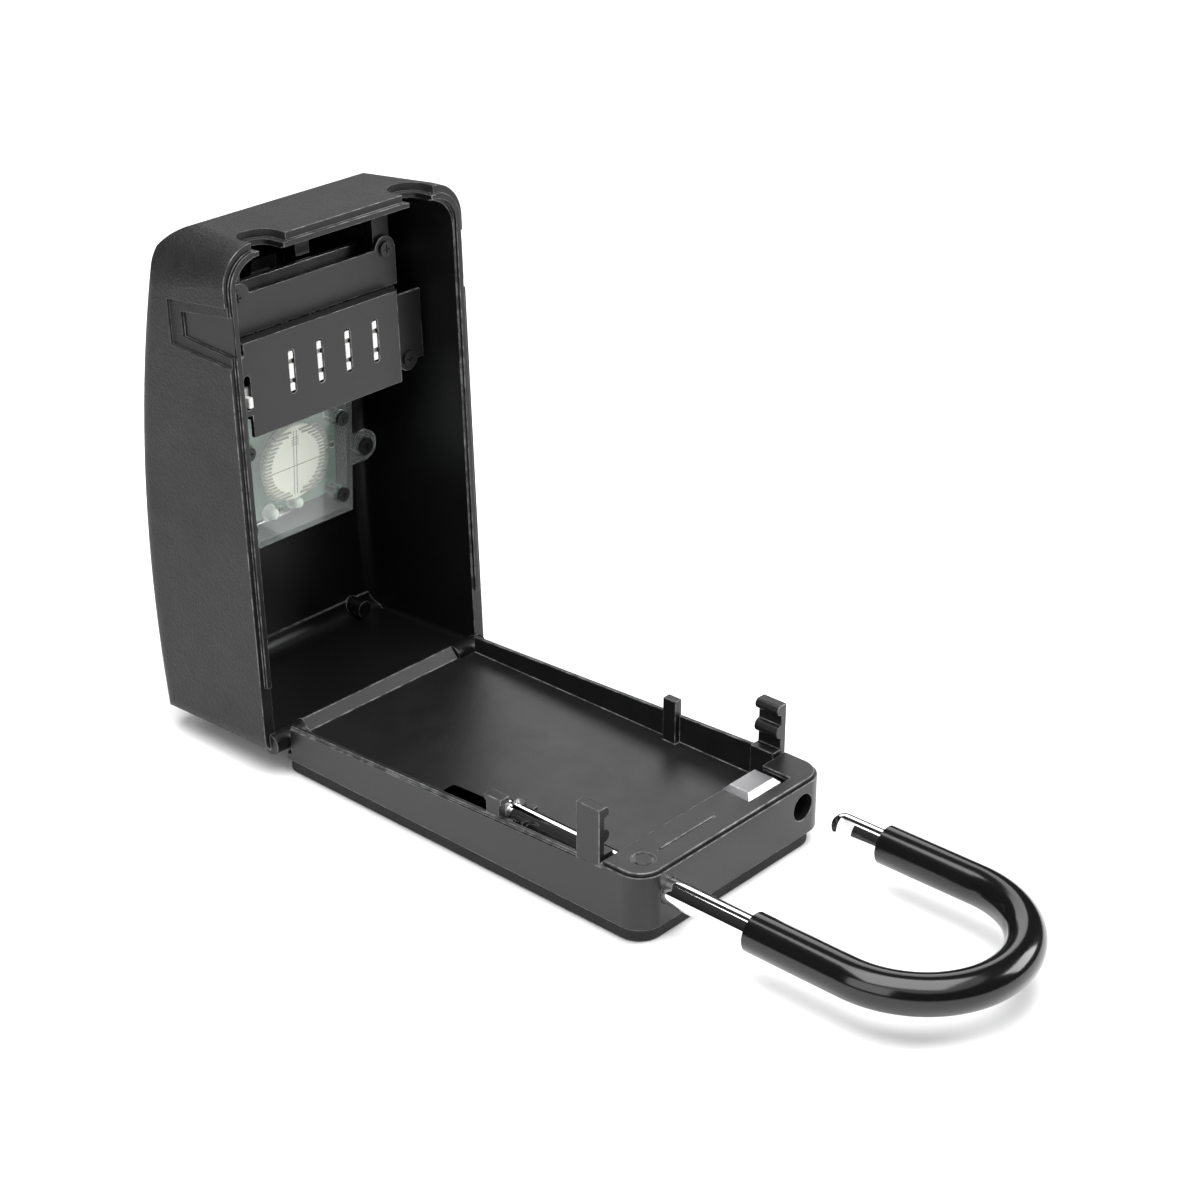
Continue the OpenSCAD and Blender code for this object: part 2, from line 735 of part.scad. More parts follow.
base_tray();
back_pad();
end_block_cover();
hinge_pin();
tray_screws();
shackle_clip();
shackle_rod();
shackle_sleeve();
release_button();
shackle_bolt();
cover_shell();
front_bezel();
upper_plate();
combination_housing();
detent_pawls();
reset_lever();
wheel_shaft();
number_wheel(0);  // number_wheel_1
number_wheel(1);  // number_wheel_2
number_wheel(2);  // number_wheel_3
number_wheel(3);  // number_wheel_4
wheel_hub(0);  // wheel_hub_1
wheel_hub(1);  // wheel_hub_2
wheel_hub(2);  // wheel_hub_3
wheel_hub(3);  // wheel_hub_4
housing_screws();
light_case();
light_board();
led_lenses();
coin_cell();
case_screws();
ear_screws();
light_button();
opening_lever();
latch_plate();
lever_screw();
dial_shutter();
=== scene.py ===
import json
import math

import bpy
from mathutils import Matrix, Vector

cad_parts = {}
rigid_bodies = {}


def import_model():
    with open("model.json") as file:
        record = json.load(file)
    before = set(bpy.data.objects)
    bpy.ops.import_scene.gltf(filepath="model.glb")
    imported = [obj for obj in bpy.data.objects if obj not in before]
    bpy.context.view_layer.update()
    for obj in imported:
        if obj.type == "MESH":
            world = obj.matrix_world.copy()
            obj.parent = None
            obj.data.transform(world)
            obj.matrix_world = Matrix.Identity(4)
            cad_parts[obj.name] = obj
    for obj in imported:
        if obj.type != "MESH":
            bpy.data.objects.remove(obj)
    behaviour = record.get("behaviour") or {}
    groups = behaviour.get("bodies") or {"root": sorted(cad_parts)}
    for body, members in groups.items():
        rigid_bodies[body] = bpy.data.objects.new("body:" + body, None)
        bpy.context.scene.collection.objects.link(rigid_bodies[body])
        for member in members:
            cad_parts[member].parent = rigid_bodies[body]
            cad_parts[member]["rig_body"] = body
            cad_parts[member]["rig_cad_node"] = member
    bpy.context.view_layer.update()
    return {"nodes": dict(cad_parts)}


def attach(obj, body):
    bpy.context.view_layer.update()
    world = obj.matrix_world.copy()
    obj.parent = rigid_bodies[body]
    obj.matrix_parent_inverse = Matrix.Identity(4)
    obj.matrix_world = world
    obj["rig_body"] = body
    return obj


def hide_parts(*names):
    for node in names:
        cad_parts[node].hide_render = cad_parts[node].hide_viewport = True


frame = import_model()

bl_info = {
    "name": "Key lock box finish",
    "version": (1, 0, 0),
    "blender": (4, 5, 0),
    "location": "View3D > Sidebar > Key box",
    "description": "Finishes, lettering and small details of a key lock box, over its CAD frame",
    "category": "Object",
}

MM = 0.001
LEAN = math.radians(2.2)          # the open cover leans back past upright
PIN = Vector((0.0, 74.8 * MM, 11.4 * MM))
WHEEL_PITCH = 11.7
WHEEL_R = 13.0
WHEEL_V = 114.0
WHEEL_W = 35.2
BULGE_R = 400.0
BULGE_V = 38.0
BULGE_W = 54.5 - BULGE_R
WHEELS_U = 0.6                    # middle of the row of wheels
DIGITS = 10
TEXT_PER_FIGURE = 1.36            # text size over the height of a figure
INK_LIFT, INK_THICK = 0.03, 0.06

LIGHT_TILT = math.radians(5)      # the dial light leans along the front wall
CELL_U, CELL_V = 1.6, 71.6
RIB_PITCH, RIB_HALF = 1.25, 0.28
RIB_REACH, RIB_INNER, RIB_OUTER = 12.2, 10.4, 14.6
RIB_W, LINE_W = (34.3, 35.2), (34.72, 34.9)
TRACK_W, PART_W, PART_END_W = (39.08, 39.25), (38.3, 39.1), (38.25, 39.15)
RING_W, RING_R, RING_HOLE = (38.4, 39.2), 2.9, 2.1
LAMPS = ((-7, 55.2), (3.6, 55.8))
TRACKS = (((-22, -17), (66.0, 66.5)), ((-17.5, -17), (58, 66.5)), ((-12, 14), (57.3, 57.8)),
          ((16, 22), (74, 74.5)), ((16, 16.5), (60, 74.5)), ((17.6, 18.1), (60, 76)),
          ((17.6, 22.4), (76, 76.5)), ((19.2, 19.7), (61, 72)), ((-15, 15), (90, 90.5)),
          ((12, 16.5), (60, 60.5)))
SMALL_PARTS = ((17.2, 67.5), (21.0, 70.5), (17.2, 62.6), (-19.4, 62.5), (-19.4, 70.0), (-1.8, 54.5))

# name, place, target, size in metres, and power as a share of the key light
LIGHTS = (("light_above", (-0.15, -0.1, 1.1), (0, 0, 0.05), (1.1, 1.1), 1.0),
          ("light_left", (-1.0, -0.1, 0.5), (0, 0, 0.08), (0.7, 0.7), 0.22),
          ("light_behind", (0.95, 0.95, 0.95), (0, 0, 0.08), (1.0, 0.7), 0.28),
          ("light_right", (0.9, -0.7, 0.6), (0, 0, 0.08), (0.7, 0.5), 0.50))


# ---------------------------------------------------------------- places

def cover_matrix():
    """Carries cover space to the open cover: u across, v towards the free end, w towards the front, in metres."""
    s, c = math.sin(LEAN), math.cos(LEAN)
    turn = Matrix(((1, 0, 0), (0, s, c), (0, c, -s))).to_4x4()
    return Matrix.Translation(PIN) @ turn


def on_cover(u, v, w):
    """A place in cover space, in millimetres, as a point of the scene."""
    return cover_matrix() @ Vector((u * MM, v * MM, w * MM))


def in_cover(point):
    """A point of the scene as its place in cover space, in millimetres."""
    return cover_matrix().inverted() @ point / MM


def light_matrix():
    """Carries cover space to the open cover for the dial light, which leans along the cover's front wall."""
    s, c = math.sin(LIGHT_TILT), math.cos(LIGHT_TILT)
    turn = Matrix(((1, 0, 0), (0, c, s), (0, -s, c))).to_4x4()
    pivot = Matrix.Translation((0, 75 * MM, 32 * MM))
    return cover_matrix() @ pivot @ turn @ pivot.inverted()


# ---------------------------------------------------------------- objects

def only(*objects):
    """Selects these objects alone and makes the last one active."""
    bpy.ops.object.select_all(action="DESELECT")
    for o in objects:
        o.select_set(True)
        bpy.context.view_layer.objects.active = o


def apply_all(o):
    """Applies every modifier of the object in order."""
    only(o)
    for m in list(o.modifiers):
        bpy.ops.object.modifier_apply(modifier=m.name)


def settle(o, name, body, material, angle=35):
    """Names a new piece, puts its place into its mesh, shades it and lets it ride on its body."""
    only(o)
    bpy.ops.object.transform_apply(location=True, rotation=True, scale=True)
    o.name = o.data.name = name
    o.data.materials.clear()
    o.data.materials.append(material)
    bpy.ops.object.shade_smooth_by_angle(angle=math.radians(angle))
    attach(o, body)
    return o


def bar(u, v, w, place, soft=0.0):
    """A small block between two ends along each direction, in millimetres of the given place's own space."""
    bpy.ops.object.select_all(action="DESELECT")
    middle = [(a[0] + a[1]) / 2 * MM for a in (u, v, w)]
    bpy.ops.mesh.primitive_cube_add(size=1, location=middle, scale=[(a[1] - a[0]) * MM for a in (u, v, w)])
    o = bpy.context.view_layer.objects.active
    bpy.ops.object.transform_apply(location=False, rotation=False, scale=True)
    bpy.ops.object.mode_set(mode="EDIT")
    bpy.ops.mesh.select_all(action="SELECT")
    if soft:
        bpy.ops.mesh.bevel(offset=soft * MM, segments=2, affect="EDGES")
    bpy.ops.object.mode_set(mode="OBJECT")
    o.matrix_world = place @ o.matrix_world
    return o


def disc(u, v, w, radius, place, soft=0.1, hole=0.0, sides=48):
    """A round piece that stands along w, with softened rims, and a hole if asked for."""
    bpy.ops.object.select_all(action="DESELECT")
    bpy.ops.mesh.primitive_cylinder_add(vertices=sides, radius=radius * MM, depth=(w[1] - w[0]) * MM,
                                        location=(u * MM, v * MM, (w[0] + w[1]) / 2 * MM))
    o = bpy.context.view_layer.objects.active
    bpy.ops.object.mode_set(mode="EDIT")
    bpy.ops.mesh.select_mode(type="FACE")
    bpy.ops.mesh.select_all(action="DESELECT")
    bpy.ops.object.mode_set(mode="OBJECT")
    for f in o.data.polygons:
        f.select = abs(f.normal.z) > 0.9
    bpy.ops.object.mode_set(mode="EDIT")
    bpy.ops.mesh.bevel(offset=soft * MM, segments=2, affect="EDGES")
    if hole:
        bpy.ops.object.mode_set(mode="OBJECT")
        for f in o.data.polygons:
            f.select = abs(f.normal.z) > 0.99
        bpy.ops.object.mode_set(mode="EDIT")
        bpy.ops.mesh.inset(thickness=(radius - soft - hole) * MM)
        bpy.ops.mesh.bridge_edge_loops()
    bpy.ops.object.mode_set(mode="OBJECT")
    o.matrix_world = place @ o.matrix_world
    return o


def gather(objects, name, body, material, angle=35):
    """Joins small pieces of one thing into one object and settles it, faces outwards."""
    for o in objects:
        only(o)
        bpy.ops.object.transform_apply(location=True, rotation=True, scale=True)
    only(*objects)
    if len(objects) > 1:
        bpy.ops.object.join()
    o = bpy.context.view_layer.objects.active
    bpy.ops.object.mode_set(mode="EDIT")
    bpy.ops.mesh.select_all(action="SELECT")
    bpy.ops.mesh.normals_make_consistent(inside=False)
    bpy.ops.object.mode_set(mode="OBJECT")
    return settle(o, name, body, material, angle)


def body_of(node):
    """The moving body that a CAD node belongs to."""
    return frame["nodes"][node]["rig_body"]


def finished_copy(node, materials, width, segments=2, angle=32, sort=None):
    """A copy of a CAD node with softened edges that is shown in its place.
    The faces made by the softening are marked in the face attribute "edge"."""
    source = frame["nodes"][node]
    only(source)
    bpy.ops.object.duplicate()
    o = bpy.context.view_layer.objects.active
    o.parent = None
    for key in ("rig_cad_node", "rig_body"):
        if key in o:
            del o[key]
    o.data.materials.clear()
    o.data.materials.append(materials[0])
    o.data.materials.append(materials[0])
    for p in o.data.polygons:
        p.material_index = 0
    only(o)
    bpy.ops.mesh.customdata_custom_splitnormals_clear()
    bpy.ops.object.mode_set(mode="EDIT")
    bpy.ops.mesh.select_all(action="SELECT")
    bpy.ops.mesh.remove_doubles(threshold=2e-6)
    bpy.ops.mesh.dissolve_limited(angle_limit=math.radians(0.4))
    bpy.ops.object.mode_set(mode="OBJECT")
    if width:
        m = o.modifiers.new("Soft edges", "BEVEL")
        m.limit_method = "ANGLE"
        m.angle_limit = math.radians(angle)
        m.width = width * MM
        m.segments = segments
        m.use_clamp_overlap = False
        m.miter_outer = "MITER_ARC" if segments > 1 else "MITER_SHARP"
        m.material = 1
        m.harden_normals = False
    apply_all(o)
    worn_and_lit = o.data.attributes.new("edge", "FLOAT", "FACE")
    worn_and_lit.data.foreach_set("value", [float(p.material_index == 1) for p in o.data.polygons])
    o.data.materials.clear()
    for material in materials:
        o.data.materials.append(material)
    for p in o.data.polygons:
        p.material_index = sort(p) if sort else 0
    o.name = o.data.name = "fine_" + node
    bpy.ops.object.shade_smooth_by_angle(angle=math.radians(48))
    m = o.modifiers.new("Flat faces stay flat", "WEIGHTED_NORMAL")
    m.mode = "FACE_AREA"
    m.weight = 50
    m.keep_sharp = True
    apply_all(o)
    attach(o, body_of(node))
    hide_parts(node)
    return o


def keep(node, material):
    """A CAD node that is shown as it is, with its finish."""
    o = frame["nodes"][node]
    o.data.materials.clear()
    o.data.materials.append(material)
    return o


# ---------------------------------------------------------------- shader groups

def add(tree, kind, inputs=None, **settings):
    """Adds a shader node; inputs holds values, or sockets to link."""
    n = tree.nodes.new(kind)
    for key, value in settings.items():
        setattr(n, key, value)
    for key, value in (inputs or {}).items():
        if isinstance(value, bpy.types.NodeSocket):
            tree.links.new(value, n.inputs[key])
        else:
            n.inputs[key].default_value = value
    return n


def group(name, ins, outs):
    """A new shader group; ins and outs are {name: (socket type, default)}. Returns it with its two ends."""
    tree = bpy.data.node_groups.new(name, "ShaderNodeTree")
    for direction, sockets in (("INPUT", ins), ("OUTPUT", outs)):
        for key, (kind, value) in sockets.items():
            s = tree.interface.new_socket(key, in_out=direction, socket_type=kind)
            if value is not None:
                s.default_value = value
    return tree, tree.nodes.new("NodeGroupInput"), tree.nodes.new("NodeGroupOutput")


FLOAT, COLOR, VECTOR = "NodeSocketFloat", "NodeSocketColor", "NodeSocketVector"


def grain_group():
    """Fine grain: a height for the bump, and a slow value for colour and roughness."""
    tree, a, b = group("Fine grain",
                       {"Scale": (FLOAT, 2000.0), "Stretch": (VECTOR, (1.0, 1.0, 1.0))},
                       {"Height": (FLOAT, None), "Slow": (FLOAT, None), "Speck": (FLOAT, None)})
    place = add(tree, "ShaderNodeTexCoord").outputs["Object"]
    stretched = add(tree, "ShaderNodeVectorMath", {0: place, 1: a.outputs["Stretch"]}, operation="MULTIPLY")
    fine = add(tree, "ShaderNodeTexNoise",
               {"Vector": stretched.outputs[0], "Scale": a.outputs["Scale"], "Detail": 3.0, "Roughness": 0.6})
    slow_scale = add(tree, "ShaderNodeMath", {0: a.outputs["Scale"], 1: 0.045}, operation="MULTIPLY")
    slow = add(tree, "ShaderNodeTexNoise",
               {"Vector": stretched.outputs[0], "Scale": slow_scale.outputs[0], "Detail": 4.0, "Roughness": 0.65})
    speck = add(tree, "ShaderNodeTexVoronoi",
                {"Vector": stretched.outputs[0], "Scale": a.outputs["Scale"], "Randomness": 1.0})
    dot = add(tree, "ShaderNodeMapRange",
              {"Value": speck.outputs["Distance"], "From Min": 0.12, "From Max": 0.32, "To Min": 1.0, "To Max": 0.0})
    tree.links.new(fine.outputs["Fac"], b.inputs["Height"])
    tree.links.new(slow.outputs["Fac"], b.inputs["Slow"])
    tree.links.new(dot.outputs["Result"], b.inputs["Speck"])
    return tree


def wear_group():
    """Edge wear and painted highlight: a mask on the softened edges, broken up by noise. The lighter colour it
    brings in is partly wear and partly a painted highlight along the edges.
    """
    tree, a, b = group("Edge wear", {"Amount": (FLOAT, 0.5), "Scale": (FLOAT, 260.0)}, {"Mask": (FLOAT, None)})
    edge = add(tree, "ShaderNodeAttribute", attribute_name="edge")
    place = add(tree, "ShaderNodeTexCoord").outputs["Object"]
    noise = add(tree, "ShaderNodeTexNoise",
                {"Vector": place, "Scale": a.outputs["Scale"], "Detail": 5.0, "Roughness": 0.7})
    broken = add(tree, "ShaderNodeMapRange",
                 {"Value": noise.outputs["Fac"], "From Min": 0.42, "From Max": 0.66, "To Min": 0.15, "To Max": 1.0})
    both = add(tree, "ShaderNodeMath", {0: edge.outputs["Fac"], 1: broken.outputs["Result"]}, operation="MULTIPLY")
    amount = add(tree, "ShaderNodeMath", {0: both.outputs[0], 1: a.outputs["Amount"]}, operation="MULTIPLY",
                 use_clamp=True)
    tree.links.new(amount.outputs[0], b.inputs["Mask"])
    return tree


def tone_group():
    """Colour and roughness that drift a little, from a slow value and the mask of edge wear and painted highlight.
    """
    tree, a, b = group("Tone",
                       {"Color": (COLOR, (0.02, 0.02, 0.02, 1)), "Worn and Highlight Color": (COLOR, (0.1, 0.1, 0.1, 1)),
                        "Rough": (FLOAT, 0.5), "Worn Rough": (FLOAT, 0.35), "Drift": (FLOAT, 0.1),
                        "Slow": (FLOAT, 0.5), "Speck": (FLOAT, 0.0), "Mask": (FLOAT, 0.0)},
                       {"Color": (COLOR, None), "Rough": (FLOAT, None)})
    centred = add(tree, "ShaderNodeMath", {0: a.outputs["Slow"], 1: 0.5}, operation="SUBTRACT")
    swing = add(tree, "ShaderNodeMath", {0: centred.outputs[0], 1: a.outputs["Drift"]}, operation="MULTIPLY")
    gain = add(tree, "ShaderNodeMath", {0: swing.outputs[0], 1: 4.0, 2: 1.0}, operation="MULTIPLY_ADD")
    brighter = add(tree, "ShaderNodeMath", {0: a.outputs["Speck"], 1: a.outputs["Drift"]}, operation="MULTIPLY")
    gain_all = add(tree, "ShaderNodeMath", {0: brighter.outputs[0], 1: 3.0, 2: gain.outputs[0]},
                   operation="MULTIPLY_ADD")
    tinted = add(tree, "ShaderNodeVectorMath", {0: a.outputs["Color"], "Scale": gain_all.outputs[0]},
                 operation="SCALE")
    # the mask blends towards the lighter edge colour: partly wear, partly a painted highlight on the softened edges
    mix = tree.nodes.new("ShaderNodeMix")
    mix.data_type = "RGBA"
    tree.links.new(a.outputs["Mask"], mix.inputs[0])
    tree.links.new(tinted.outputs[0], mix.inputs[6])
    tree.links.new(a.outputs["Worn and Highlight Color"], mix.inputs[7])
    tree.links.new(mix.outputs[2], b.inputs["Color"])
    rough = add(tree, "ShaderNodeMath", {0: a.outputs["Rough"], 1: swing.outputs[0]}, operation="ADD")
    fall = add(tree, "ShaderNodeMath", {0: a.outputs["Worn Rough"], 1: rough.outputs[0]}, operation="SUBTRACT")
    worn_and_lit = add(tree, "ShaderNodeMath", {0: fall.outputs[0], 1: a.outputs["Mask"], 2: rough.outputs[0]},
               operation="MULTIPLY_ADD", use_clamp=True)
    tree.links.new(worn_and_lit.outputs[0], b.inputs["Rough"])
    return tree


def use_group(tree, made, inputs):
    """Places a shader group in a material; inputs holds values, or sockets to link."""
    n = tree.nodes.new("ShaderNodeGroup")
    n.node_tree = made
    for key, value in inputs.items():
        if isinstance(value, bpy.types.NodeSocket):
            tree.links.new(value, n.inputs[key])
        else:
            n.inputs[key].default_value = value
    return n


groups = {}
finishes = {}


def rgba(color):
    return (color[0], color[1], color[2], 1.0)


def grey(value):
    return (value, value, value * 1.03)


def start_material(name):
    """A new material with its node tree and its shader; the shader groups are made with the first one."""
    if not groups:
        groups.update(grain=grain_group(), wear=wear_group(), tone=tone_group())
    m = bpy.data.materials.new(name)
    m.use_nodes = True
    finishes[name] = m
    return m, m.node_tree, m.node_tree.nodes["Principled BSDF"]


def finish(name, color, rough, metal=0.0, scale=2000.0, depth=0.05, drift=0.08, worn_and_lit=None, worn_rough=0.3,
           wear=0.4, stretch=(1.0, 1.0, 1.0), speck=0.0, coat=0.0, specular=0.3, aniso=0.0):
    """A procedural finish: grain, drift of colour and roughness, and a lighter colour along the softened edges that
    is partly wear and partly a painted highlight.
    depth is the bump's depth in millimetres."""
    if name in finishes:
        return finishes[name]
    m, tree, shader = start_material(name)
    grain = use_group(tree, groups["grain"], {"Scale": scale, "Stretch": stretch})
    mask = use_group(tree, groups["wear"], {"Amount": wear})
    tone = use_group(tree, groups["tone"], {
        "Color": rgba(color), "Worn and Highlight Color": rgba(worn_and_lit or tuple(min(1.0, c * 3 + 0.05) for c in color)),
        "Rough": rough, "Worn Rough": worn_rough, "Drift": drift,
        "Slow": grain.outputs["Slow"], "Mask": mask.outputs["Mask"]})
    if speck:
        part = add(tree, "ShaderNodeMath", {0: grain.outputs["Speck"], 1: speck}, operation="MULTIPLY")
        tree.links.new(part.outputs[0], tone.inputs["Speck"])
    bump = add(tree, "ShaderNodeBump", {"Height": grain.outputs["Height"], "Distance": depth * MM, "Strength": 1.0})
    tree.links.new(tone.outputs["Color"], shader.inputs["Base Color"])
    tree.links.new(tone.outputs["Rough"], shader.inputs["Roughness"])
    tree.links.new(bump.outputs["Normal"], shader.inputs["Normal"])
    shader.inputs["Metallic"].default_value = metal
    shader.inputs["Coat Weight"].default_value = coat
    shader.inputs["Coat Roughness"].default_value = 0.12
    shader.inputs["Specular IOR Level"].default_value = specular
    shader.inputs["Anisotropic"].default_value = aniso
    return m


def clear_finish(name, color, rough):
    """Clear moulded plastic. Light that makes shadows passes straight through it."""
    if name in finishes:
        return finishes[name]
    m, tree, shader = start_material(name)
    grain = use_group(tree, groups["grain"], {"Scale": 700.0})
    tone = use_group(tree, groups["tone"], {
        "Color": rgba(color), "Rough": rough, "Drift": 0.03, "Slow": grain.outputs["Slow"]})
    bump = add(tree, "ShaderNodeBump", {"Height": grain.outputs["Slow"], "Distance": 0.03 * MM, "Strength": 0.6})
    tree.links.new(tone.outputs["Color"], shader.inputs["Base Color"])
    tree.links.new(tone.outputs["Rough"], shader.inputs["Roughness"])
    tree.links.new(bump.outputs["Normal"], shader.inputs["Normal"])
    shader.inputs["Transmission Weight"].default_value = 0.91
    shader.inputs["Metallic"].default_value = 0.0
    shader.inputs["IOR"].default_value = 1.38
    path = add(tree, "ShaderNodeLightPath")
    through = add(tree, "ShaderNodeBsdfTransparent", {"Color": (0.93, 0.97, 0.95, 1.0)})
    mix = add(tree, "ShaderNodeMixShader", {"Fac": path.outputs["Is Shadow Ray"]})
    tree.links.new(shader.outputs["BSDF"], mix.inputs[1])
    tree.links.new(through.outputs["BSDF"], mix.inputs[2])
    tree.links.new(mix.outputs["Shader"], tree.nodes["Material Output"].inputs["Surface"])
    return m


def looks():
    """The colours and edge widths that a user can change."""
    return bpy.context.scene.keybox_finish


def tray_black():
    # the light grey on the softened edges is partly wear and partly a painted highlight
    return finish("Tray black", looks().tray_color, 0.38, scale=1700, depth=0.035, drift=0.16, worn_and_lit=grey(0.24),
                  worn_rough=0.28, wear=0.8, speck=0.5, specular=0.42)


def cover_outer():
    return finish("Cover black, textured", looks().cover_color, 0.58, scale=1150, depth=0.30, drift=0.30,
                  worn_and_lit=grey(0.10), worn_rough=0.40, wear=0.7, speck=1.0, specular=0.42)


def cover_inner():
    # the light grey on the softened edges of the lip is partly wear and partly a painted highlight
    return finish("Cover black, smooth", looks().inner_color, 0.34, scale=900, depth=0.010, drift=0.08,
                  worn_and_lit=grey(0.22), worn_rough=0.26, wear=0.9)


def plate_black():
    # the light grey on the plate's softened edges is partly wear and partly a painted highlight
    return finish("Plate black", looks().plate_color, 0.40, scale=1500, depth=0.03, drift=0.14, worn_and_lit=grey(0.30),
                  worn_rough=0.28, wear=0.9, speck=0.3, specular=0.42)


def pad_rubber():
    return finish("Pad rubber", looks().pad_color, 0.82, scale=1100, depth=0.35, drift=0.35, worn_and_lit=grey(0.12),
                  worn_rough=0.8, wear=0.3, speck=0.9, specular=0.35)


def chrome():
    return finish("Polished chrome", (0.80, 0.80, 0.81), 0.06, metal=1.0, scale=500, depth=0.002, drift=0.03,
                  worn_and_lit=(0.85, 0.85, 0.85), worn_rough=0.1, wear=0.2)


def sleeve_black():
    return finish("Sleeve vinyl", looks().sleeve_color, 0.16, scale=300, depth=0.02, drift=0.05, worn_and_lit=grey(0.05),
                  worn_rough=0.25, wear=0.2, coat=0.35)


def brushed():
    return finish("Brushed zinc", looks().silver_color, 0.42, metal=1.0, scale=2600, depth=0.02, drift=0.14,
                  worn_and_lit=(0.75, 0.75, 0.75), worn_rough=0.2, wear=0.6, stretch=(0.05, 1.0, 1.0), aniso=0.2)


def zinc():
    return finish("Zinc plate", (0.56, 0.56, 0.57), 0.30, metal=1.0, scale=1500, depth=0.01, drift=0.12,
                  worn_and_lit=(0.7, 0.7, 0.7), worn_rough=0.2, wear=0.5)


def black_screw():
    return finish("Blackened screw", (0.03, 0.03, 0.032), 0.33, metal=0.6, scale=1500, depth=0.01, drift=0.12,
                  worn_and_lit=(0.3, 0.3, 0.3), worn_rough=0.25, wear=0.7)


def white_plastic():
    return finish("White plastic", (0.72, 0.72, 0.70), 0.42, scale=900, depth=0.01, drift=0.05,
                  worn_and_lit=(0.8, 0.8, 0.78), wear=0.2)


def dark_plastic():
    return finish("Dark plastic", grey(0.010), 0.42, scale=1700, depth=0.02, drift=0.10, worn_and_lit=grey(0.09),
                  wear=0.5)


def wheel_plastic():
    return finish("Wheel plastic", grey(0.008), 0.30, scale=900, depth=0.01, drift=0.08, worn_and_lit=grey(0.08), wear=0.5)


def numeral_white():
    return finish("Numeral white", looks().numeral_color, 0.5, scale=2500, depth=0.01, drift=0.06,
                  worn_and_lit=(0.5, 0.5, 0.5), wear=0.4)


def board_green():
    return finish("Board green", looks().board_color, 0.38, scale=700, depth=0.01, drift=0.16, worn_and_lit=(0.5, 0.55, 0.4),
                  wear=0.5)


def cell_cream():
    return finish("Cell holder cream", looks().cell_color, 0.45, scale=900, depth=0.01, drift=0.05,
                  worn_and_lit=(0.75, 0.73, 0.62), wear=0.3)


def cell_rib():
    return finish("Cell holder ribs", (0.30, 0.31, 0.25), 0.5, scale=900, depth=0.01, drift=0.08)


def line_grey():
    return finish("Line grey", (0.16, 0.17, 0.14), 0.5, scale=900, depth=0.01, drift=0.08)


def track_green():
    return finish("Board tracks", (0.20, 0.36, 0.24), 0.3, scale=700, depth=0.01, drift=0.1)


def solder():
    return finish("Solder and tin", (0.66, 0.66, 0.64), 0.28, metal=1.0, scale=900, depth=0.02, drift=0.1)


def lens():
    return finish("Lamp lens", (0.80, 0.82, 0.74), 0.12, scale=700, depth=0.01, drift=0.05, coat=0.8)


def rubber_button():
    return finish("Button rubber", grey(0.025), 0.6, scale=1300, depth=0.05, drift=0.12, worn_and_lit=grey(0.12), wear=0.3)


# ---------------------------------------------------------------- settings

class KeyboxFinish(bpy.types.PropertyGroup):
    """Colours and softened edges of the whole box."""
    tray_color: bpy.props.FloatVectorProperty(
        name="Tray", description="Colour of the tray and its end plate", subtype="COLOR", size=3, min=0, max=1,
        default=(0.0062, 0.0062, 0.0065))
    cover_color: bpy.props.FloatVectorProperty(
        name="Cover", description="Colour of the cover's textured outside", subtype="COLOR", size=3, min=0, max=1,
        default=(0.0062, 0.0062, 0.0065))
    inner_color: bpy.props.FloatVectorProperty(
        name="Cover inside", description="Colour of the cover's smooth inside", subtype="COLOR", size=3, min=0,
        max=1, default=(0.0045, 0.0045, 0.0047))
    plate_color: bpy.props.FloatVectorProperty(
        name="Plates", description="Colour of the plates inside the cover", subtype="COLOR", size=3, min=0, max=1,
        default=(0.0070, 0.0070, 0.0072))
    pad_color: bpy.props.FloatVectorProperty(
        name="Pad", description="Colour of the rubber pad", subtype="COLOR", size=3, min=0, max=1,
        default=(0.016, 0.016, 0.0165))
    sleeve_color: bpy.props.FloatVectorProperty(
        name="Sleeve", description="Colour of the shackle's sleeve", subtype="COLOR", size=3, min=0, max=1,
        default=(0.0045, 0.0045, 0.0047))
    silver_color: bpy.props.FloatVectorProperty(
        name="Release button", description="Colour of the brushed release button", subtype="COLOR", size=3, min=0,
        max=1, default=(0.30, 0.30, 0.31))
    board_color: bpy.props.FloatVectorProperty(
        name="Light board", description="Colour of the dial light's board", subtype="COLOR", size=3, min=0, max=1,
        default=(0.16, 0.30, 0.21))
    cell_color: bpy.props.FloatVectorProperty(
        name="Cell holder", description="Colour of the cell holder", subtype="COLOR", size=3, min=0, max=1,
        default=(0.86, 0.84, 0.73))
    numeral_color: bpy.props.FloatVectorProperty(
        name="Numerals", description="Colour of the numbers on the wheels", subtype="COLOR", size=3, min=0, max=1,
        default=(0.80, 0.80, 0.78))
    metal_edge: bpy.props.FloatProperty(
        name="Metal edges", description="Width of the softened edges of metal pieces", unit="LENGTH", min=0.00005,
        max=0.001, precision=5, default=0.00025)
    cast_edge: bpy.props.FloatProperty(
        name="Cast edges", description="Width of the softened edges of the cover", unit="LENGTH", min=0.00005,
        max=0.00024, precision=5, default=0.0002)


class KeyboxDials(bpy.types.PropertyGroup):
    """Numbers on the wheels."""
    numeral_size: bpy.props.FloatProperty(
        name="Numeral height", description="Height of the numbers on the wheels", unit="LENGTH", min=0.003,
        max=0.007, precision=4, default=0.0058)


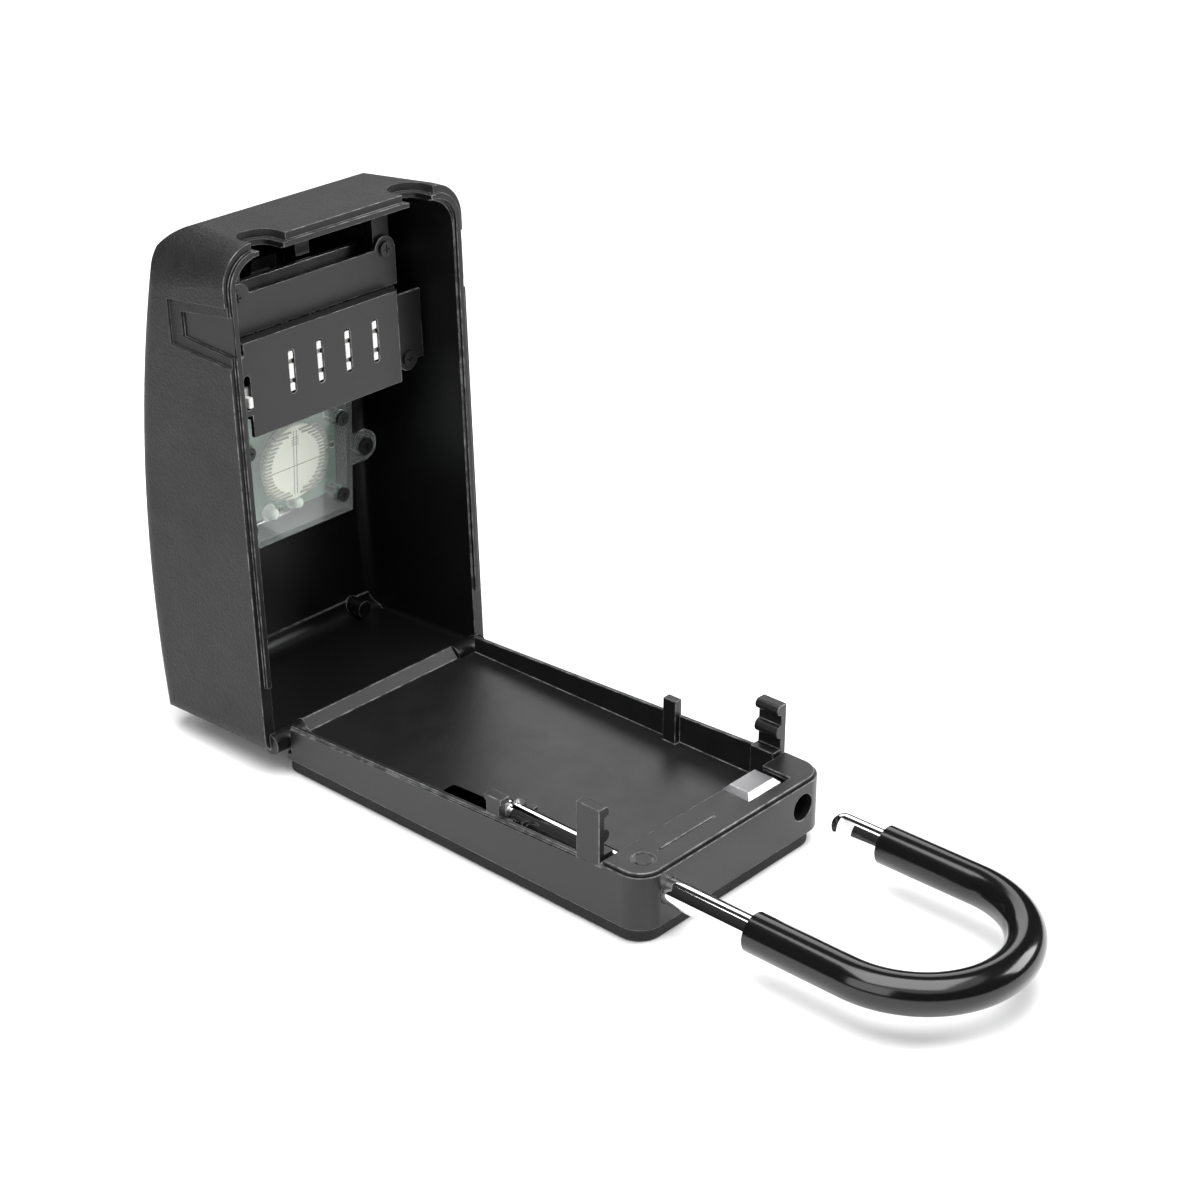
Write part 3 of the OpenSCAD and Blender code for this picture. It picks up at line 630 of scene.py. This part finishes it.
class KeyboxStage(bpy.types.PropertyGroup):
    """Floor, light and camera."""
    camera_place: bpy.props.FloatVectorProperty(
        name="Camera", description="Where the camera stands", subtype="TRANSLATION", unit="LENGTH", size=3,
        default=(-0.498, -0.472, 0.415))
    camera_pitch: bpy.props.FloatProperty(
        name="Look down", description="How far the camera looks down from level", subtype="ANGLE",
        default=math.radians(26.68))
    camera_heading: bpy.props.FloatProperty(
        name="Heading", description="Which way the camera is turned about the vertical", subtype="ANGLE",
        default=math.radians(-47.77))
    lens: bpy.props.FloatProperty(
        name="Lens", description="Focal length of the camera in millimetres", unit="CAMERA", min=20, max=200,
        default=76.9)
    floor_size: bpy.props.FloatProperty(
        name="Floor", description="Width of the floor", unit="LENGTH", min=1, max=20, default=6.0)
    key_power: bpy.props.FloatProperty(
        name="Key light", description="Power of the large light above", unit="POWER", min=0, max=200,
        default=20.0)
    wide_power: bpy.props.FloatProperty(
        name="Wide light", description="Strength of the wide even light over the whole floor", min=0, max=20,
        default=1.35)
    horizon: bpy.props.FloatProperty(
        name="Horizon", description="Strength of the surrounding light at the horizon", min=0, max=5, default=0.34)
    zenith: bpy.props.FloatProperty(
        name="Zenith", description="Strength of the surrounding light overhead", min=0, max=5, default=0.80)
    floor_color: bpy.props.FloatVectorProperty(
        name="Floor colour", description="Colour of the floor", subtype="COLOR", size=3, min=0, max=1,
        default=(0.92, 0.92, 0.92))


# ---------------------------------------------------------------- pieces

class KEYBOX_OT_base(bpy.types.Operator):
    """Finish the tray, the plate over its end block, the pad, the pin and the screws under it"""
    bl_idname = "keybox.base"
    bl_label = "Base"

    def execute(self, context):
        edge = looks().metal_edge / MM
        finished_copy("base_tray", [tray_black()], edge)
        finished_copy("end_block_cover", [tray_black()], 0.35, segments=3)
        finished_copy("back_pad", [pad_rubber()], 0.6, segments=3)
        finished_copy("hinge_pin", [zinc()], 0.3)
        keep("tray_screws", zinc())
        return {"FINISHED"}


class KEYBOX_OT_shackle(bpy.types.Operator):
    """Finish the shackle's rod, its sleeve and its clip"""
    bl_idname = "keybox.shackle"
    bl_label = "Shackle"

    def execute(self, context):
        keep("shackle_rod", chrome())
        keep("shackle_sleeve", sleeve_black())
        keep("shackle_clip", zinc())
        return {"FINISHED"}


class KEYBOX_OT_release(bpy.types.Operator):
    """Finish the silver button that frees the shackle, and the bolt under it"""
    bl_idname = "keybox.release"
    bl_label = "Shackle release"

    def execute(self, context):
        finished_copy("release_button", [brushed()], 0.22)
        finished_copy("shackle_bolt", [zinc()], 0.2)
        return {"FINISHED"}


def outside_of_cover(polygon):
    """0 for a face of the cover's textured outside, 1 for one of its smooth inside.
    Each test draws a surface through the middle of a wall, whose far side is the outside."""
    u, v, w = in_cover(polygon.center)
    across = max(abs(u) - 41.0, 0.0)
    up = max(math.hypot(v - BULGE_V, w - BULGE_W) - (BULGE_R - 8.0), 0.0)
    past_side = math.hypot(across, up) > 6.2
    past_corner = (49.0 - abs(u)) + (161.7 - v) < 13.0
    past_end = v > 158.6 or (v > 149.7 and math.hypot(v - 149.7, w - 26.1) > 10.2 and w > 26.1)
    above_rim = w > 0.4
    behind_hinge = v < -1.8
    return 0 if ((past_side or past_corner or past_end) and above_rim) or behind_hinge else 1


class KEYBOX_OT_cover(bpy.types.Operator):
    """Finish the cover, textured outside and smooth inside"""
    bl_idname = "keybox.cover"
    bl_label = "Cover"

    def execute(self, context):
        finished_copy("cover_shell", [cover_outer(), cover_inner()], looks().cast_edge / MM,
                      sort=outside_of_cover)
        return {"FINISHED"}


class KEYBOX_OT_front(bpy.types.Operator):
    """Finish the pieces on the cover's front: the frame, the shutter, the lever and the light's button"""
    bl_idname = "keybox.front"
    bl_label = "Front of the cover"

    def execute(self, context):
        finished_copy("front_bezel", [dark_plastic()], 0.25)
        finished_copy("dial_shutter", [dark_plastic()], 0.25)
        finished_copy("opening_lever", [dark_plastic()], 0.2)
        finished_copy("light_button", [rubber_button()], 0.5, segments=3)
        return {"FINISHED"}


class KEYBOX_OT_latch(bpy.types.Operator):
    """Finish the latch, the plates inside the cover and their screws"""
    bl_idname = "keybox.latch"
    bl_label = "Latch and plates"

    def execute(self, context):
        finished_copy("latch_plate", [zinc()], 0.2)
        keep("lever_screw", zinc())
        finished_copy("upper_plate", [plate_black()], 0.22)
        finished_copy("combination_housing", [plate_black()], 0.22)
        keep("housing_screws", black_screw())
        finished_copy("detent_pawls", [white_plastic()], 0.08)
        finished_copy("reset_lever", [white_plastic()], 0.12)
        return {"FINISHED"}


def raised_text(word, size):
    """A flat mesh of a word, centred, lying in the XY plane, with faces small enough to follow a curve."""
    bpy.ops.object.select_all(action="DESELECT")
    bpy.ops.object.text_add(location=(0, 0, 0))
    o = bpy.context.view_layer.objects.active
    o.data.body = word
    o.data.size = size * TEXT_PER_FIGURE
    o.data.align_x, o.data.align_y = "CENTER", "CENTER"
    o.data.resolution_u = 3
    only(o)
    bpy.ops.object.convert(target="MESH")
    o = bpy.context.view_layer.objects.active
    bpy.ops.object.mode_set(mode="EDIT")
    bpy.ops.mesh.select_all(action="SELECT")
    bpy.ops.mesh.remove_doubles(threshold=1e-6)
    bpy.ops.mesh.dissolve_limited(angle_limit=math.radians(1))
    bpy.ops.mesh.quads_convert_to_tris()
    bpy.ops.mesh.subdivide(number_cuts=2)
    bpy.ops.object.mode_set(mode="OBJECT")
    bpy.ops.object.origin_set(type="ORIGIN_GEOMETRY", center="BOUNDS")
    o.location = (0, 0, 0)
    return o


class KEYBOX_OT_dials(bpy.types.Operator):
    """Finish the number wheels and print the numbers on them"""
    bl_idname = "keybox.dials"
    bl_label = "Number wheels"

    def execute(self, context):
        size = bpy.context.scene.keybox_dials.numeral_size
        for k in range(4):
            wheel = finished_copy(f"number_wheel_{k + 1}", [wheel_plastic()], 0.3)
            finished_copy(f"wheel_hub_{k + 1}", [zinc()], 0.15)
            centre = on_cover((k - 1.5) * WHEEL_PITCH + WHEELS_U, WHEEL_V, WHEEL_W)
            numbers = []
            for digit in range(DIGITS):
                o = raised_text(str(digit), size)
                # the digit stands on the rim, upright for someone who reads the dials from the front
                turn = math.radians(360 / DIGITS * digit) + LEAN
                out = Vector((0, math.cos(turn), -math.sin(turn)))
                up = Vector((0, math.sin(turn), math.cos(turn)))
                side = up.cross(out)
                place = Matrix((side, up, out)).transposed().to_4x4()
                o.matrix_world = Matrix.Translation(centre + out * (WHEEL_R * MM)) @ place
                only(o)
                bpy.ops.object.transform_apply(location=True, rotation=True, scale=True)
                m = o.modifiers.new("Follow the rim", "SHRINKWRAP")
                m.target = wheel
                m.wrap_method = "NEAREST_SURFACEPOINT"
                m.offset = INK_LIFT * MM
                m.wrap_mode = "ABOVE_SURFACE"
                m = o.modifiers.new("Ink", "SOLIDIFY")
                m.thickness = INK_THICK * MM
                m.offset = 0
                apply_all(o)
                numbers.append(o)
            only(*numbers)
            bpy.ops.object.join()
            settle(bpy.context.view_layer.objects.active, f"wheel_numbers_{k + 1}", f"dial_{k + 1}",
                   numeral_white())
        keep("wheel_shaft", zinc())
        return {"FINISHED"}


class KEYBOX_OT_light(bpy.types.Operator):
    """Finish the dial light: its clear case, its board, the ribbed holder of its cell, its lamps and small parts"""
    bl_idname = "keybox.light"
    bl_label = "Dial light"

    def execute(self, context):
        here = light_matrix()
        clear = clear_finish("Clear plastic", (0.95, 0.98, 0.97), 0.05)
        finished_copy("light_case", [clear], 0.3)
        finished_copy("light_board", [board_green()], 0.1, segments=1)
        keep("led_lenses", lens())
        finished_copy("coin_cell", [cell_cream()], 0.3)
        keep("case_screws", black_screw())
        keep("ear_screws", black_screw())
        # fine ribs on both sides of the cell holder, and the cross lines on its face
        ribs = []
        for row in range(-9, 10):
            high = row * RIB_PITCH
            if abs(high) > RIB_REACH:
                continue
            inner = math.sqrt(max(RIB_INNER ** 2 - high ** 2, 3.0))
            outer = math.sqrt(max(RIB_OUTER ** 2 - high ** 2, 9.0))
            v = (CELL_V + high - RIB_HALF, CELL_V + high + RIB_HALF)
            for side in (-1, 1):
                u = sorted((CELL_U + side * inner, CELL_U + side * outer))
                ribs.append(bar(u, v, RIB_W, here, 0.08))
        gather(ribs, "cell_holder_ribs", "cover", cell_rib())
        upright = (CELL_V - 11.4, CELL_V + 11.4)
        lines = [bar((CELL_U - 0.75, CELL_U - 0.5), upright, LINE_W, here),
                 bar((CELL_U + 0.5, CELL_U + 0.75), upright, LINE_W, here),
                 bar((CELL_U - 11.8, CELL_U + 11.8), (CELL_V - 1.35, CELL_V - 1.1), LINE_W, here)]
        for step in range(4):
            v = CELL_V + 6.2 + step * 0.9
            lines.append(bar((CELL_U - 1.5, CELL_U + 1.5), (v, v + 0.25), LINE_W, here))
        gather(lines, "cell_holder_lines", "cover", line_grey())
        # copper tracks, small parts and the lamps' rings on the board
        gather([bar(u, v, TRACK_W, here) for u, v in TRACKS], "board_tracks", "cover", track_green())
        parts, ends = [], []
        for u, v in SMALL_PARTS:
            parts.append(bar((u - 0.6, u + 0.6), (v - 0.9, v + 0.9), PART_W, here, 0.08))
            for end in (v - 1.0, v + 1.0):
                ends.append(bar((u - 0.64, u + 0.64), (end - 0.22, end + 0.22), PART_END_W, here, 0.05))
        gather(parts, "board_parts", "cover", dark_plastic())
        gather(ends, "board_part_ends", "cover", solder())
        rings = [disc(u, v, RING_W, RING_R, here, 0.15, hole=RING_HOLE) for u, v in LAMPS]
        gather(rings, "lamp_rings", "cover", white_plastic())
        return {"FINISHED"}


def area_light(name, place, target, size, power):
    """A rectangular lamp that looks at a target."""
    bpy.ops.object.light_add(type="AREA", location=place)
    o = bpy.context.view_layer.objects.active
    o.name = name
    o.data.shape = "RECTANGLE"
    o.data.size, o.data.size_y = size
    o.data.energy = power
    o.rotation_euler = (Vector(target) - Vector(place)).to_track_quat("-Z", "Y").to_euler()


class KEYBOX_OT_stage(bpy.types.Operator):
    """Make the pale floor, the soft light and the camera"""
    bl_idname = "keybox.stage"
    bl_label = "Floor, light and camera"

    def execute(self, context):
        s = context.scene.keybox_stage
        bpy.ops.object.select_all(action="DESELECT")
        bpy.ops.mesh.primitive_plane_add(size=s.floor_size, location=(0, 0, -0.0002))
        floor = bpy.context.view_layer.objects.active
        floor.name = "floor"
        m = bpy.data.materials.new("Floor")
        m.use_nodes = True
        m.node_tree.nodes["Principled BSDF"].inputs["Base Color"].default_value = rgba(s.floor_color)
        m.node_tree.nodes["Principled BSDF"].inputs["Roughness"].default_value = 0.7
        floor.data.materials.append(m)
        world = bpy.data.worlds.new("Soft studio")
        world.use_nodes = True
        tree = world.node_tree
        sky = add(tree, "ShaderNodeTexCoord").outputs["Generated"]
        height = add(tree, "ShaderNodeSeparateXYZ", {"Vector": sky}).outputs["Z"]
        dome = add(tree, "ShaderNodeMapRange", {"Value": height, "From Min": 0.05, "From Max": 0.75,
                                                "To Min": s.horizon, "To Max": s.zenith})
        tree.links.new(dome.outputs["Result"], tree.nodes["Background"].inputs["Strength"])
        context.scene.world = world
        for name, place, target, size, share in LIGHTS:
            area_light(name, place, target, size, s.key_power * share)
        bpy.ops.object.light_add(type="SUN", location=(0, 0, 2), rotation=(math.radians(12), math.radians(-10), 0))
        sun = bpy.context.view_layer.objects.active
        sun.name = "light_wide"
        sun.data.energy = s.wide_power
        sun.data.angle = math.radians(70)
        bpy.ops.object.camera_add(location=s.camera_place,
                                  rotation=(math.pi / 2 - s.camera_pitch, 0, s.camera_heading))
        camera = bpy.context.view_layer.objects.active
        camera.data.lens = s.lens
        camera.data.sensor_width = 36
        camera.data.sensor_fit = "AUTO"
        camera.data.clip_start = 0.01
        context.scene.camera = camera
        context.scene.view_settings.view_transform = "Standard"
        return {"FINISHED"}


STEPS = (KEYBOX_OT_base, KEYBOX_OT_shackle, KEYBOX_OT_release, KEYBOX_OT_cover, KEYBOX_OT_front, KEYBOX_OT_latch,
         KEYBOX_OT_dials, KEYBOX_OT_light, KEYBOX_OT_stage)


class KEYBOX_PT_panel(bpy.types.Panel):
    """Lists the steps that finish the key lock box"""
    bl_idname = "KEYBOX_PT_panel"
    bl_label = "Key box"
    bl_space_type = "VIEW_3D"
    bl_region_type = "UI"
    bl_category = "Key box"

    def draw(self, context):
        for step in STEPS:
            self.layout.operator(step.bl_idname)


CLASSES = (KeyboxFinish, KeyboxDials, KeyboxStage, *STEPS, KEYBOX_PT_panel)


def register():
    for c in CLASSES:
        bpy.utils.register_class(c)
    bpy.types.Scene.keybox_finish = bpy.props.PointerProperty(type=KeyboxFinish)
    bpy.types.Scene.keybox_dials = bpy.props.PointerProperty(type=KeyboxDials)
    bpy.types.Scene.keybox_stage = bpy.props.PointerProperty(type=KeyboxStage)


def unregister():
    del bpy.types.Scene.keybox_finish, bpy.types.Scene.keybox_dials, bpy.types.Scene.keybox_stage
    for c in reversed(CLASSES):
        bpy.utils.unregister_class(c)


def main():
    register()
    for step in STEPS:
        getattr(bpy.ops.keybox, step.bl_idname.split(".")[1])()


if __name__ == "__main__":
    main()
